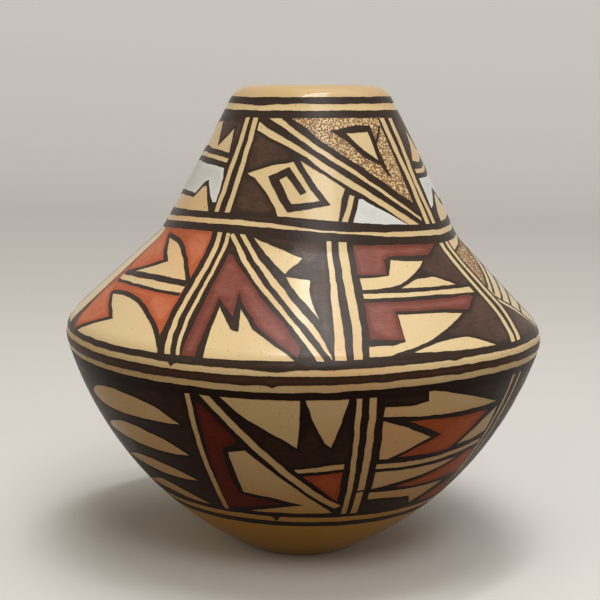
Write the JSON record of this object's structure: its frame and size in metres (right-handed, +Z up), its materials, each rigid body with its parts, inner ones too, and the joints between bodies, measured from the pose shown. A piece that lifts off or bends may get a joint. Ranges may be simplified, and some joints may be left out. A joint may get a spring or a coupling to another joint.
{
  "type": "pueblo pottery jar",
  "caption": "Small coil-built clay jar with a sharp keel, sloping shoulder, tapering neck and turned-in lip, burnished and painted in bands of feather, fret and stepped motifs.",
  "frame": {"origin": "the middle of the flat foot, on the surface the jar stands on", "axes": "+Z up the jar's axis, -Y towards the side that the picture shows, +X to the right of that side"},
  "size_m": [0.1, 0.1, 0.0984],
  "materials": {
    "buff_clay": "burnished cream to golden buff slip on fired clay, unglazed, with a soft sheen",
    "dark_paint": "dark brown-black mineral paint, fired on, brush streaked and slightly glossy",
    "red_paint": "iron red clay paint, fired on, from salmon where thin to maroon where thick",
    "white_paint": "white clay paint, matte"
  },
  "bodies": {
    "root": {"base": "buff_clay", "lower_coil_1": "buff_clay", "lower_coil_2": "buff_clay", "lower_coil_3": "buff_clay", "lower_coil_4": "buff_clay", "lower_coil_5": "buff_clay", "lower_coil_6": "buff_clay", "shoulder_coil_1": "buff_clay", "shoulder_coil_2": "buff_clay", "neck_root_coil": "buff_clay", "neck_coil_1": "buff_clay", "neck_coil_2": "buff_clay", "neck_coil_3": "buff_clay", "rim_coil": "buff_clay"}
  },
  "joints": []
}
